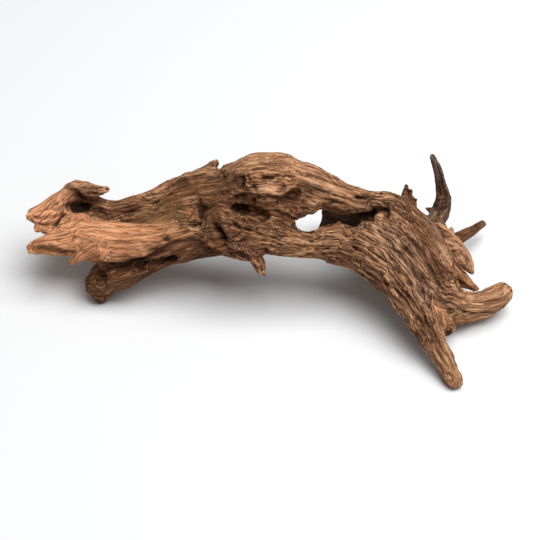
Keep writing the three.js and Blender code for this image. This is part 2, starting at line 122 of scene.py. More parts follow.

# The lines that the fibres follow, in millimetres, each from the plank end towards the roots.
# With each line: how freshly split its wood is, how grey it has aged, how dark it is,
# how much painted shade darkens it and how deeply weathered.
FIBRE_LINES = {
    "upper limb": (
        (0.3, 0.0, 0.25, 0.0, 0.45),
        (
            (-171, 73, 60), (-147, 61, 65), (-108, 58, 74), (-82, 61, 83), (-59, 60, 91), (-26, 57, 104),
            (-1, 53, 110),
        ),
    ),
    "upper arm": (
        (0.0, 0.05, 0.0, 0.0, 0.45),
        (
            (-26, 57, 104), (-1, 53, 110), (24, 52, 107), (47, 51, 97), (70, 49, 88), (91, 48, 82),
            (112, 50, 74),
        ),
    ),
    "crown edge": (
        (0.0, 0.25, 0.75, 0.0, 0.7),
        (
            (91, 48, 82), (112, 51, 76), (129, 46, 70), (143, 33, 62), (154, 19, 52), (165, 8, 42),
            (177, 3, 32), (193, 0, 20),
        ),
    ),
    "plank": (
        (1.0, 0.0, 0.0, 0.0, 0.2),
        (
            (-221, 18, 53), (-207, 23, 54), (-174, 33, 54), (-136, 25, 55), (-99, 22, 60), (-62, 25, 70),
            (-44, 29, 77),
        ),
    ),
    "under prong": ((0.8, 0.0, 0.1, 0.0, 0.3), ((-182, 4, 50), (-173, 9, 54), (-159, 16, 59))),
    "slab": ((0.85, 0.0, 0.0, 0.0, 0.35), ((-221, 49, 57), (-206, 61, 62), (-193, 69, 70), (-181, 71, 82))),
    "horn": ((0.2, 0.1, 0.15, 0.0, 0.7), ((-181, 71, 82), (-168, 65, 86), (-157, 63, 86), (-150, 65, 85))),
    "core": (
        (0.0, 0.2, 0.6, 0.15, 0.4),
        ((-196, 74, 46), (-160, 63, 48), (-112, 60, 55), (-65, 55, 66), (-27, 45, 78), (7, 33, 82)),
    ),
    "left leg": (
        (0.15, 0.0, 1.0, 0.0, 0.45),
        (
            (-165, 13, 17), (-153, 9, 22), (-134, 8, 30), (-110, 10, 40), (-86, 13, 48), (-63, 15, 56),
            (-40, 16, 64),
        ),
    ),
    "bridge": ((0.0, 0.0, 0.8, 0.0, 0.6), ((-49, 34, 86), (-22, 28, 88), (1, 27, 88), (21, 27, 86))),
    "lower limb": (
        (0.05, 0.0, 0.3, 0.0, 1.0),
        (
            (-71, 31, 72), (-35, 14, 82), (-15, 11, 78), (15, 7, 75), (37, 4, 72), (61, 12, 67), (88, 4, 57),
            (110, -11, 50), (125, -30, 42), (137, -48, 32),
        ),
    ),
    "front leg": (
        (0.15, 0.0, 0.1, 0.0, 0.55),
        ((125, -30, 42), (137, -48, 32), (149, -70, 20), (158, -87, 12), (165, -100, 5)),
    ),
    "thorn": ((0.35, 0.0, 0.2, 0.0, 0.4), ((-23, 5, 66), (-14, 0, 61), (-8, -8, 54), (-5, -12, 51))),
    "crown middle": (
        (0.0, 0.05, 0.55, 0.0, 1.0),
        ((101, 42, 73), (123, 29, 66), (138, 14, 56), (149, -1, 46), (159, -13, 38), (170, -20, 30)),
    ),
    "crown front": (
        (0.0, 0.0, 0.45, 0.0, 1.0),
        ((85, 15, 62), (105, 3, 58), (122, -15, 49), (136, -34, 38), (147, -53, 27)),
    ),
    "right root": (
        (0.1, 0.0, 0.0, 0.0, 0.35),
        (
            (101, 29, 68), (118, 13, 60), (132, -3, 51), (144, -17, 42), (157, -26, 35), (174, -27, 28),
            (191, -23, 23), (207, -15, 22), (219, -5, 23),
        ),
    ),
    "root ledge": (
        (0.0, 0.1, 0.3, 0.0, 0.35),
        ((153, -37, 26), (170, -36, 18), (187, -30, 14), (204, -24, 12)),
    ),
    "beak": (
        (0.05, 0.1, 0.0, 0.0, 0.2),
        ((130, 44, 66), (152, 39, 56), (166, 31, 50), (178, 24, 42), (185, 17, 35), (189, 11, 31)),
    ),
    "antler": (
        (0.0, 1.0, 0.2, 0.0, 0.15),
        (
            (128, 40, 56), (145, 43, 50), (158, 62, 47), (165, 76, 50), (166, 82, 60), (163, 87, 74),
            (153, 95, 101),
        ),
    ),
    "stub": (
        (0.0, 0.55, 0.7, 0.0, 0.15),
        ((130, 36, 52), (151, 31, 44), (169, 47, 34), (185, 63, 28), (199, 78, 22), (209, 91, 18)),
    ),
    # the back root is darkened with painted shade, as if in deep shadow under the arm
    "back root": (
        (0.0, 0.4, 1.0, 1.0, 0.5),
        ((55, 100, 2), (59, 98, 14), (75, 84, 29), (97, 65, 46), (123, 41, 58)),
    ),
}

# Knots that the fibres part round: picture point and radius in millimetres.
KNOTS = (
    ((234, 229), 11.0),
    ((288, 183), 7.0),
    ((461, 262), 7.0),
    ((380, 219), 5.0),
    ((152, 206), 4.0),
    ((400, 262), 5.0),
    ((448, 378), 4.0),
)

# Carved strokes: half width and depth in millimetres (a depth below zero raises a ridge), and picture points.
STROKES = (
    # the valley between the upper limb and the plank
    (6.5, 3.2, ((92, 213), (112, 216.5), (135, 220), (153, 221), (172, 217), (190, 212), (207, 206))),
    (2.0, 2.4, ((92, 213), (112, 216.5), (135, 220), (150, 221))),
    (2.0, 2.2, ((184, 213), (196, 209), (220, 203))),
    # grooves along the upper limb
    (2.0, 3.0, ((142, 204.5), (155, 202.5), (164, 198), (172, 192), (185, 186.5))),
    (1.7, 2.2, ((151, 196.5), (164, 191), (175, 183.5), (190, 178))),
    (1.6, 2.0, ((108, 211), (120, 211.5), (131, 212.5), (138, 209))),
    (1.3, 1.8, ((179, 196.5), (190, 195.5), (200, 195.5), (218, 195.5))),
    # cracks along the plank
    (1.8, 3.6, ((114, 226), (128, 225.5), (140, 223.5))),
    (1.5, 1.8, ((57, 231), (73, 226), (90, 226), (104, 226.5), (114, 226))),
    (1.5, 1.8, ((60, 236), (85, 239), (112, 243), (140, 241))),
    (1.5, 1.8, ((120, 236), (150, 233), (180, 229), (189, 227))),
    (1.4, 1.6, ((88, 232), (112, 234), (140, 232), (165, 228), (186, 223))),
    (1.4, 1.6, ((90, 246), (115, 249), (140, 247), (165, 240))),
    (1.5, 3.0, ((175, 235.5), (182, 233.5), (190, 231.5))),
    (1.7, 3.8, ((190.5, 227.5), (196, 225.5), (201, 222.5))),
    (1.3, 1.6, ((88, 240), (98, 245.5))),
    (1.3, 1.5, ((79, 247), (84, 254))),
    # broken corner of the plank
    (2.2, -2.8, ((195, 205), (195.5, 211), (193, 217))),
    (1.8, 2.6, ((200, 207), (199, 213), (197, 219))),
    # ragged lower edge of the plank, and the drop under it
    (2.4, -2.2, ((100, 260), (122, 260.5), (143, 255.5), (160, 245.5), (171, 238), (190, 235), (202, 236.5))),
    (3.0, 3.2, ((104, 265), (122, 266), (143, 261.5), (162, 251.5), (176, 243.5), (193, 240.5))),
    (2.4, 2.6, ((162, 238), (169, 240))),
    (2.4, 2.6, ((148, 250), (158, 248))),
    (2.2, 2.4, ((129, 260), (142, 258))),
    (2.2, 2.4, ((93, 257), (100, 261))),
    # steps of the broken slab
    (2.2, 3.8, ((53, 227), (57, 220), (61, 215.5), (66, 213))),
    (1.5, 2.6, ((30, 217), (40, 217.5), (52, 216.5), (58, 214.5))),
    (1.6, 3.0, ((34, 224), (43, 224.5), (51, 222), (58, 219))),
    (1.4, 1.8, ((30, 212.5), (45, 209.5), (58, 210))),
    (1.9, 3.6, ((61, 186.5), (66, 187), (71, 188.5), (76, 191.5), (82, 195), (88, 198))),
    (6.0, 2.6, ((72, 197), (84, 200))),
    (5.0, 3.2, ((70, 208), (79, 208.5), (87, 208))),
    (3.0, 3.6, ((66, 205.5), (70, 207.5))),
    (3.0, 3.6, ((86, 207), (90.5, 205.5))),
    (1.5, -1.8, ((54, 203), (60, 199), (66, 197))),
    (1.4, -1.6, ((58, 207), (63, 203.5), (67, 202))),
    # lower prongs
    (1.5, 1.8, ((36, 249), (48, 247), (60, 248))),
    (2.6, 3.0, ((46, 252), (56, 253), (63, 253))),
    (1.8, 2.6, ((62, 255), (66, 252), (72, 253))),
    # cup and slot of the leg
    (8.0, 2.6, ((97, 271), (102, 275), (104, 279))),
    (1.8, -1.8, ((110, 268), (111.5, 277), (107, 285))),
    (1.6, 2.0, ((92, 289), (100, 291), (108, 288))),
    (2.8, 4.5, ((122.5, 271.5), (140, 266), (155, 262), (166, 259.5), (175, 258.5))),
    (3.0, 3.5, ((166, 259.5), (175, 258))),
    # trough under the splinter of the hump, and the step at its end
    (10.5, 7.5, ((198, 190), (214, 186), (236, 183))),
    (2.6, 3.2, ((241.5, 175), (243, 181), (242.5, 189))),
    (4.0, -2.6, ((249, 173), (249.5, 181), (249, 188))),
    (1.8, 2.0, ((198, 176), (212, 174), (224, 171))),
    (1.8, 2.0, ((216, 195), (223, 194), (229, 193))),
    # pale lip under the trough, and the brow below it
    (2.4, -3.4, ((247, 188.5), (239, 193.5), (227, 199.5), (214, 205.5))),
    # burl with its flakes and pits
    (12.0, -2.6, ((255, 186), (266, 185), (277, 186))),
    (2.4, -2.4, (
        (247, 190), (256, 191.5), (264, 190.5), (272, 192.5), (280, 195.5), (287, 190.5), (294, 186.5),
    )),
    (2.2, 4.0, ((252, 185.5), (256.5, 187))),
    (1.8, 2.4, ((247.5, 174), (249, 178), (251, 181))),
    (2.0, -2.4, ((262, 173), (270, 175.5), (281, 173))),
    (1.5, 2.4, ((262, 176.5), (271, 178.7), (282, 176))),
    (1.5, 1.8, ((255, 163), (266, 163.5), (280, 161))),
    (1.5, 2.2, ((283, 178), (287, 175.5), (292, 177.5), (294, 182.5), (290, 187.5), (284.5, 187))),
    (1.7, 2.6, ((283, 185.5), (285, 187))),
    # lit lower edge of the pit, and the folds under it
    (2.2, -2.8, ((225, 209.5), (233, 213), (242, 217), (250, 219.5), (258, 218.5), (271, 213.5))),
    (1.7, 2.4, ((226, 214), (234, 217.5), (242, 221.5))),
    (2.0, -2.2, ((229, 217), (238, 221), (246, 224.5), (257, 225), (267, 223))),
    (1.9, 2.8, ((243, 226), (251.5, 229.5), (261, 235))),
    (1.8, 2.0, ((262, 228), (280, 224), (294, 225))),
    (1.8, 2.0, ((262, 240), (280, 236), (300, 235), (318, 238))),
    # knot and its rings
    (1.7, -1.2, ((240, 220), (244, 226), (244.5, 232), (240, 238), (232, 239.5))),
    (1.6, 2.4, ((236, 221), (240, 226.5), (240.5, 232.5), (236.5, 236), (230, 236))),
    (1.4, 1.8, ((229, 225), (233, 223), (236, 226.5), (236, 231), (232, 233.5))),
    (2.8, -2.4, ((220, 214), (223, 218))),
    (2.4, -2.2, ((222, 222), (229, 225))),
    (1.7, 2.4, ((247.5, 223), (249.5, 231), (246, 239), (238, 244))),
    # fin and the gap behind it
    (3.2, 7.0, ((212, 221), (217.5, 229), (222, 239), (224.5, 246))),
    (3.0, -3.6, ((204, 237.5), (213, 243), (222, 250))),
    # hollow and thorn under the knot
    (4.2, 4.4, ((236, 252), (246, 256))),
    (2.0, -2.2, ((228, 246), (239, 248.5), (250, 253))),
    (1.8, 3.0, ((265.5, 249), (266.5, 258))),
    # rim over the left end of the hole
    (4.5, -4.0, ((297, 213), (305, 209), (314, 207))),
    (2.4, -2.2, ((275, 208), (284, 212.5), (296, 212), (307, 209))),
    # arm over the hole
    (1.8, 2.4, ((303, 186), (320, 191), (338, 197), (352, 201))),
    (1.6, 2.0, ((296, 173), (315, 177), (335, 184), (352, 189))),
    (1.6, 2.0, ((318, 199), (332, 204), (346, 207))),
    # pits of the lower limb
    (2.8, 5.2, ((345, 233), (350, 234.5), (355.5, 235))),
    (1.7, -1.5, ((345, 238.5), (352, 240), (359, 237.5))),
    (1.7, 4.0, ((355, 247.5), (358.5, 248))),
    # curl over the hole
    (2.4, 4.0, ((356.5, 196.5), (362, 195.5), (369, 195))),
    (3.0, -1.6, ((352, 206), (362, 206), (371, 209))),
    (1.8, 2.4, ((362, 202.5), (370, 200.5), (379, 200.5), (386, 204), (389, 212))),
    (3.6, 5.0, ((356, 217), (364, 216.5), (371, 215))),
    (2.4, 3.6, ((370, 213), (376, 210.5), (384, 210), (388, 213))),
    (2.2, -1.6, ((369, 193.5), (380, 193), (392, 195.5), (400, 199.5))),
    (5.0, -2.8, ((378, 218.5), (383, 218.5))),
    # knob beside the front leg
    (4.5, -4.5, ((412.5, 323), (417, 331))),
    (2.0, 2.0, ((418, 318), (421, 326), (423, 334))),
    # furrows of the crown
    (2.6, 3.4, ((402, 212), (420, 226), (433, 240), (447, 266))),
    (3.0, 4.6, ((413, 222), (419, 229), (425, 241), (431, 255), (440, 268), (450, 286))),
    (2.4, 3.0, ((393, 219), (410, 238), (425, 256), (440, 284), (447, 296))),
    (2.4, 2.8, ((380, 232), (398, 250), (418, 272), (438, 296))),
    (2.6, 3.2, ((368, 250), (385, 263), (402, 277), (424, 296), (449, 312))),
    (1.8, 2.0, ((372, 275), (397, 292), (423, 313), (438, 337))),
    (1.6, 1.6, ((355, 262), (378, 274), (402, 298), (420, 318))),
    # slits between the furrows
    (1.5, 2.4, ((396, 231), (402, 236))),
    (1.5, 2.6, ((400, 244), (407, 250), (415, 256))),
    (1.5, 2.6, ((367, 253), (373, 258), (379, 262))),
    (1.5, 2.6, ((393, 264), (400, 271), (407, 276))),
    (1.5, 2.4, ((400, 290), (408, 296), (418, 303))),
    (1.5, 2.4, ((360, 268), (370, 276), (380, 283))),
    (1.5, 2.4, ((412, 268), (420, 277), (426, 285))),
    (2.4, 2.8, ((423, 290), (433, 297), (446, 303))),
    # front leg
    (1.5, 1.8, ((428, 344), (435.5, 360), (443, 372))),
    (1.5, 1.8, ((438, 340), (448, 357.5), (456, 371))),
    (1.4, 1.6, ((433, 342), (441, 358), (449, 370))),
    (1.5, 2.4, ((444, 374), (448, 373), (452, 376), (452, 381), (447, 382))),
    (1.6, 2.6, ((409, 323), (415, 330), (418, 338))),
    # beak
    (1.6, 1.9, ((448, 240), (458, 242.5), (465.5, 249), (471.5, 258.5))),
    (1.6, 1.9, ((448, 246), (457, 246), (464, 252.5), (469, 261))),
    (1.6, 1.9, ((448.5, 253.5), (457, 251), (463, 256), (468, 265))),
    (2.8, 5.4, ((453, 262), (460, 266.5), (467, 272))),
    (4.2, -3.4, ((442, 247), (447, 258), (454, 268), (464, 277))),
    # folds of the edge nub
    (1.9, 3.4, ((436, 222), (441, 230), (447, 239))),
    (1.7, 2.6, ((446, 236), (453, 236), (460, 233))),
    # right root
    (2.2, 3.4, ((457, 309), (468, 312.5), (478, 315), (493, 312.5))),
    (1.8, 2.4, ((452, 291), (460, 296), (469, 299))),
    (1.6, 1.8, ((470, 300), (484, 303), (500, 298))),
    (3.2, 5.0, ((449, 310), (452, 314), (454, 317))),
    (2.2, -2.0, ((450, 328), (453, 330))),
    (1.8, 3.0, ((447, 333), (451, 335), (456, 331))),
    # cleft between the splinters of the crown
    (1.3, 3.0, ((408.5, 186), (409, 192), (410, 198))),
    # antler
    (2.2, 2.8, ((441, 177), (444, 187), (446, 197))),
    (1.6, 2.6, ((432, 208.5), (440, 209), (448, 208))),
    (2.2, -2.2, ((438, 197), (440, 200))),
    (1.6, 1.6, ((433, 161), (437, 170), (440, 177))),
    (1.6, 2.2, ((437, 186), (440, 192), (444, 203))),
    (1.8, -1.6, ((434, 204), (440, 203))),
    # stub
    (1.6, 1.8, ((462, 236), (471, 231), (480, 226))),
)

# Ledges: reach and depth in millimetres, and picture points. The wood drops away on the right-hand
# side of the route, sharply at the route and less and less further from it.
LEDGES = (
    # rim of the upper limb
    (9.0, 2.6, ((108, 205), (125, 206), (142, 201), (160, 194), (175, 187), (192, 179.5))),
    # trough and the step at its end
    (10.0, 6.0, ((241.5, 172), (244, 180), (243, 190))),
    (10.0, 2.6, ((200, 177.5), (215, 174.5), (230, 172), (241, 172.5))),
    # lips of the trough and of the burl
    (6.0, 3.2, ((214, 206), (227, 199.5), (239, 194), (246, 189.5))),
    (6.0, 3.2, ((246, 190), (256, 192.5), (264, 192), (272, 194), (280, 197), (287, 192), (294, 187.5))),
    (5.0, 2.6, ((261, 173.5), (270, 176.5), (282, 174.5))),
    (6.0, 2.6, ((300, 188), (301, 196), (298, 203))),
    # upper edge of the pit and the folds under it
    (7.0, 1.8, ((228, 204.5), (240, 203.5), (252, 207), (262, 206), (272, 208.5))),
    (5.0, 3.0, ((222, 210.5), (233, 214.5), (242, 218.5), (250, 221), (258, 220), (271, 215))),
    (5.0, 2.8, ((229, 218.5), (238, 222.5), (246, 226), (257, 226.5), (267, 224.5))),
    (5.0, 2.2, ((262, 229), (276, 227), (290, 226), (300, 229))),
    # ring of the knot
    (4.0, 2.0, ((240, 219), (245, 226), (245, 233), (240, 239), (231, 240))),
    # fin
    (5.0, 7.0, ((224, 249), (220, 241), (214, 231), (210, 222))),
    (5.0, 3.6, ((203, 238.5), (213, 247), (222, 252))),
    # lower edge and broken corner of the plank
    (9.0, 3.8, (
        (88, 258.5), (100, 262.5), (122, 263), (143, 258), (160, 248), (170, 240.5), (190, 237),
        (203, 239),
    )),
    (7.0, 4.6, ((201, 223), (197.5, 216), (196, 208), (193, 203))),
    # slab and horn
    (5.0, 3.6, ((65, 213.5), (60, 216), (54, 226))),
    (4.0, 2.2, ((30, 217.5), (40, 218), (52, 217), (58, 215))),
    (5.0, 2.8, ((34, 224.5), (43, 225), (51, 222.5), (58, 219.5))),
    (7.0, 4.0, ((61, 187), (66, 187.5), (71, 189), (76, 192), (82, 195.5), (88, 198.5))),
    # lower prong
    (5.0, 3.0, ((36, 250), (48, 248.5), (58, 248), (66, 252))),
    # rim of the hole
    (5.0, 2.6, ((275, 208.5), (284, 213.5), (293, 215))),
    # curl and the nub in it
    (7.0, 2.8, ((352, 197), (358, 195.5), (366, 194.5), (374, 195), (384, 197), (390, 202), (391, 211))),
    (4.0, 2.4, ((387.5, 221), (386, 216), (380, 213.5), (374, 215), (372, 219))),
    # edge of the finger over the beak, and the ledge of the right root
    (5.0, 3.6, ((470, 282), (458, 272), (449, 262))),
    (5.0, 3.2, ((457, 309.5), (468, 313), (478, 315.5), (493, 313))),
    # lower edge of the arch
    (6.0, 0.9, ((352, 267), (365, 275), (385, 290), (401, 303), (409, 311))),
)

# Pushes: half width, shift to the right and shift up in the picture, all in millimetres, and picture points.
PUSHES = (
    (6.0, 0.0, -3.6, ((297, 209), (305, 206), (313, 205))),
    (6.0, 0.0, -3.2, ((295, 213), (303, 211), (312, 209))),
    (5.0, 2.4, -0.6, ((291, 219), (293, 224))),
    (6.0, 0.0, 3.2, ((320, 206), (332, 207), (345, 208))),
)

# Rough burled places: half width and height of the lumps in millimetres, and picture points.
BURLS = (
    (9.0, 1.6, ((234, 199), (250, 200), (266, 200))),
    (8.0, 1.2, ((222, 216), (234, 228))),
    (6.0, 1.2, ((192, 210), (200, 220))),
    (7.0, 0.9, ((255, 180), (272, 184), (288, 182))),
    (5.0, 1.0, ((448, 326), (454, 331))),
    (5.0, 1.0, ((60, 200), (64, 210))),
)

# Calm places, where the fibres hardly stand out: half width in millimetres and picture points.
CALM = (
    (11.0, ((190, 193), (214, 187), (238, 183))),
    (7.0, ((146, 216), (160, 217), (174, 214))),
    (8.0, ((438, 308), (444, 319))),
    (7.0, ((376, 219), (384, 219))),
    (10.0, ((462, 301), (478, 303), (496, 296), (506, 290))),
    (6.0, ((255, 213), (264, 213))),
    (10.0, ((248, 200), (262, 193), (284, 188))),
    (8.0, ((455, 240), (466, 255), (472, 268))),
    (7.0, ((455, 268), (466, 279), (476, 288))),
    (9.0, ((438, 352), (448, 370), (454, 384))),
    (19.0, ((236, 166), (256, 157), (276, 158), (296, 168))),
    (13.0, ((304, 172), (326, 184), (348, 195))),
    (8.0, ((437, 236), (442, 247), (448, 258), (456, 268))),
    (9.0, ((450, 240), (458, 247), (464, 256))),
)

# Colour marks of each colour: half width in millimetres, strength and picture points. Most are stains;
# the brown rows are mostly painted shade and the black rows are painted shade.
STAINS_AND_SHADE = {
    "olive": (
        (8.0, 0.8, ((140, 215), (155, 218), (172, 216), (184, 211))),
        (6.0, 0.6, ((205, 214), (212, 219), (214, 228))),
        (7.0, 0.5, ((94, 288), (104, 292), (120, 284))),
        (5.0, 0.5, ((94, 200), (100, 206))),
        (7.0, 0.5, ((196, 198), (210, 196))),
    ),
    "ash": (
        (5.0, 0.7, ((427, 217), (434, 227), (439, 237))),
        (5.0, 0.5, ((381, 258), (388, 264))),
        (24.0, 0.3, ((384, 232), (405, 255), (428, 285))),
        (6.0, 0.75, ((431, 156), (436, 165), (441, 173))),
        (5.0, 0.35, ((437, 238), (442, 248), (447, 258))),
    ),
    "red": (
        (6.0, 0.6, ((232, 226), (237, 232))),
        (5.0, 0.7, ((415, 224), (426, 242), (434, 258), (445, 280))),
        (4.0, 0.5, ((172, 186), (190, 177))),
        (5.0, 0.5, ((436, 185), (440, 200))),
        (6.0, 0.35, ((425, 255), (436, 275), (444, 292))),
        (7.0, 0.3, ((395, 205), (412, 214))),
        (8.0, 0.25, ((282, 160), (300, 170), (318, 178))),
        (6.0, 0.3, ((112, 246), (140, 243), (168, 240))),
    ),
    "pink": (
        (4.5, 0.4, ((450, 263), (456, 270), (464, 277), (474, 286))),
        (14.0, 1.0, ((31, 218), (45, 214), (56, 208))),
        (12.0, 0.55, ((58, 233), (80, 232), (100, 234), (140, 234))),
    ),
    # mostly painted shade: the trough, under the horn, the leg under the plank, pits, folds and clefts
    "brown": (
        (7.0, 0.8, ((122, 269), (150, 258), (176, 250), (200, 245))),
        (6.0, 0.5, ((230, 202), (250, 200), (268, 201))),
        (5.0, 0.6, ((281, 200), (297, 197))),
        (6.0, 0.4, ((230, 221), (241, 232))),
        (9.5, 0.85, ((190, 188), (212, 187), (238, 183))),
        (7.0, 0.75, ((68, 196), (78, 199), (90, 202))),
        (5.0, 0.8, ((66, 206), (78, 207), (91, 206))),
        (16.0, 0.9, ((96, 272), (112, 278), (134, 270), (162, 258), (190, 250), (215, 246))),
        (12.0, 0.25, ((300, 245), (330, 246), (360, 256), (380, 270))),
        (10.0, 0.6, ((250, 220), (276, 221), (294, 224))),
        (6.0, 0.6, ((462, 236), (472, 231), (482, 225))),
        (9.0, 0.6, ((398, 200), (420, 218), (433, 236))),
        (6.0, 0.5, ((262, 227), (276, 227), (288, 226))),
        (5.0, 0.85, ((406, 187), (408, 196), (413, 200))),
        (7.0, 0.5, ((362, 205), (378, 205), (388, 210))),
        (9.0, 0.25, ((430, 332), (442, 354), (453, 380))),
        (6.0, 0.6, ((205, 208), (208, 216), (214, 226))),
        (5.0, 0.8, ((40, 247), (50, 251), (64, 255))),
        (5.0, 0.4, ((66, 262), (72, 258))),
        # growth lines along the beak
        (1.8, 0.6, ((448, 240), (458, 242.5), (465.5, 249), (471.5, 258.5))),
        (1.8, 0.6, ((448, 246), (457, 246), (464, 252.5), (469, 261))),
        (1.8, 0.6, ((448.5, 253.5), (457, 251), (463, 256), (468, 265))),
        (5.0, 0.7, ((233, 251), (247, 257))),
        (12.0, 0.4, ((94, 280), (104, 292), (124, 282), (150, 270))),
        (7.0, 0.4, ((248, 158), (258, 157), (267, 160))),
        (5.0, 0.65, ((300, 180), (308, 186), (317, 192))),
        (5.0, 0.5, ((413, 323), (418, 332))),
    ),
    # painted shade: dark under the plank's edge, in slits, pits, gaps and the end of the hole
    "black": (
        (3.0, 0.35, ((238, 175), (240.5, 182), (239, 188))),
        (4.0, 0.6, ((67, 205.5), (78, 207.5), (90, 206))),
        (2.6, 0.5, (
            (104, 265.5), (122, 266.5), (143, 262), (160, 252), (172, 244), (190, 240.5), (203, 242),
        )),
        (3.4, 0.5, ((200, 207), (201, 214), (204, 221))),
        (3.0, 0.4, ((213, 223), (218, 231), (223, 242))),
        (2.4, 0.5, ((162, 238), (169, 240))),
        (2.4, 0.4, ((148, 250), (158, 248))),
        (2.2, 0.4, ((129, 260), (142, 258))),
        (3.0, 0.5, ((166, 259.5), (175, 258.5))),
        (3.2, 0.8, ((454, 262.5), (460, 266.5), (466, 271.5))),
        (3.6, 0.8, ((354, 216.5), (364, 216), (372, 213.5))),
        (2.2, 0.6, ((371, 212), (378, 210), (386, 210.5), (389, 214))),
        (2.4, 0.6, ((357, 197), (362, 196), (369, 194.5))),
        (3.0, 0.4, ((236, 252.5), (246, 256.5))),
    ),
    "pale": (
        (13.0, 0.25, ((244, 160), (268, 154), (292, 163), (316, 176), (334, 186), (350, 193))),
        (9.0, 0.45, ((452, 242), (462, 250), (470, 262))),
        (11.0, 0.35, ((462, 304), (480, 304), (500, 295))),
        (8.0, 0.8, ((80, 188), (94, 192), (108, 191))),
        (7.0, 0.6, ((56, 200), (66, 194), (76, 184))),
        (4.5, 0.3, ((377, 219), (384, 219))),
        (7.0, 0.3, ((66, 186), (76, 184), (90, 191), (104, 192))),
    ),
    "fresh": (
        (3.5, 0.9, ((205, 239), (214, 244.5), (222, 250))),
        (4.0, 0.8, ((190, 211), (196, 219))),
        (5.0, 0.3, ((436, 306), (444, 318))),
    ),
}


def colour(name, description, default):
    """A colour that a user may change."""
    return FloatVectorProperty(
        name=name, description=description, subtype="COLOR", default=default, min=0.0, max=1.0
    )


def length(name, description, millimetres):
    """A length that a user may change."""
    return FloatProperty(
        name=name, description=description, default=millimetres * MM, unit="LENGTH", precision=5
    )


class WoodShape(bpy.types.PropertyGroup):
    """Sizes of the carved and combed surface."""

    voxel: length("Mesh pitch", "Size of the mesh that the surface is carved in", 1.5)
    smoothing: IntProperty(
        name="Smoothing", description="Passes that round the construction's facets off", default=24
    )
    flute_depth: length("Flute depth", "Height of the broad flutes along the fibres", 1.3)
    groove_depth: length("Groove depth", "Depth of the weathered grooves along the fibres", 1.9)
    fibre_depth: length("Fibre depth", "Height of single fibres", 0.5)


class WoodColours(bpy.types.PropertyGroup):
    """Colours of the wood."""

    heartwood: colour("Heartwood", "Brown of the weathered wood", (0.54, 0.258, 0.118))
    # pale is also painted as highlight on ridges
    pale: colour("Pale fibres", "Light tan of the outermost fibres", (0.73, 0.41, 0.225))
    # streak also paints the shade of the brown rows and of creases
    streak: colour("Streak", "Darker brown of the fibre streaks", (0.16, 0.062, 0.026))
    split: colour("Split face", "Orange brown of the freshly split plank", (0.61, 0.232, 0.094))
    split_pale: colour("Split face streaks", "Pink orange streaks of the split plank", (0.86, 0.41, 0.21))
    aged: colour("Aged", "Grey brown of the oldest twigs", (0.155, 0.108, 0.09))
    russet: colour("Russet", "Redder brown that clouds the heartwood", (0.4, 0.165, 0.08))
    olive: colour("Olive stain", "Olive brown of the sheltered valley", (0.2, 0.125, 0.05))
    ash: colour("Ash stain", "Grey of the bleached edges", (0.32, 0.23, 0.18))
    red: colour("Red stain", "Dark red brown of knots and deep furrows", (0.17, 0.058, 0.034))
    # hollow also paints the shade in grooves, cuts and hidden places
    hollow: colour("Hollow", "Near black of grooves and hollows", (0.04, 0.018, 0.01))


class StageLook(bpy.types.PropertyGroup):
    """Floor and light of the studio."""

    floor: colour("Floor", "Pale floor", (0.694, 0.7, 0.706))
    key_power: FloatProperty(
        name="Key light", description="Power of the soft light", default=117.0, unit="POWER"
    )
    key_size: FloatProperty(
        name="Key size", description="Side of the soft light", default=2.4, unit="LENGTH"
    )
    fill: FloatProperty(name="Fill light", description="Strength of the light from all round", default=0.27)


def lattice(seed):
    """A repeating lattice of seeded random values."""
    values = np.random.default_rng(seed).standard_normal((LATTICE, LATTICE, LATTICE))
    return values.astype(np.float32)


def cloud(grid, points, spacing):
    """Smooth noise with that spacing at the points."""
    q = points / spacing
    low = np.floor(q).astype(np.int32)
    f = (q - low).astype(np.float32)
    f = f * f * (3 - 2 * f)
    a = low & (LATTICE - 1)
    b = (low + 1) & (LATTICE - 1)
    flat = grid.ravel()
    total = np.zeros(len(points), np.float32)
    for i, wx in ((a[:, 0], 1 - f[:, 0]), (b[:, 0], f[:, 0])):
        for j, wy in ((a[:, 1], 1 - f[:, 1]), (b[:, 1], f[:, 1])):
            row = (i * LATTICE + j) * LATTICE
            w = wx * wy
            total += w * ((1 - f[:, 2]) * flat[row + a[:, 2]] + f[:, 2] * flat[row + b[:, 2]])
    return total


def even(values):
    """The values with mean 0 and spread 1."""
    return (values - values.mean()) / values.std()


def patchy(points, kind):
    """Even noise of that kind at the points."""
    seed, spacing = kind
    return even(cloud(lattice(seed), points, spacing))


def ramp(values, low, high):
    """Smooth step from 0 at low to 1 at high."""
    t = np.clip((values - low) / (high - low), 0, 1)
    return t * t * (3 - 2 * t)


def picture_ray(point):
    """Direction from the eye through a picture point."""
    right = point[0] - PICTURE / 2
    up = PICTURE / 2 - point[1]
    return Vector(-VIEW_BACK * FOCAL + VIEW_RIGHT * right + VIEW_UP * up).normalized()


def picture(points):
    """Picture points of points in millimetres, and the millimetres that one picture unit spans there."""
    off = points - EYE
    away = -(off @ VIEW_BACK)
    right = PICTURE / 2 + FOCAL * (off @ VIEW_RIGHT) / away
    down = PICTURE / 2 - FOCAL * (off @ VIEW_UP) / away
    return np.stack([right, down], 1), away / FOCAL


def right_of(flat, route):
    """Distance of picture points from a route, above zero on its right-hand side."""
    best = np.full(len(flat), np.inf)
    out = np.zeros(len(flat))
    for a, b in zip(np.array(route[:-1], float), np.array(route[1:], float)):
        step = b - a
        t = np.clip(((flat - a) @ step) / (step @ step), 0, 1)
        off = flat - a - t[:, None] * step
        d = np.hypot(off[:, 0], off[:, 1])
        side = np.where(step[0] * off[:, 1] - step[1] * off[:, 0] >= 0, 1.0, -1.0)
        closer = d < best
        best[closer] = d[closer]
        out[closer] = (d * side)[closer]
    return out


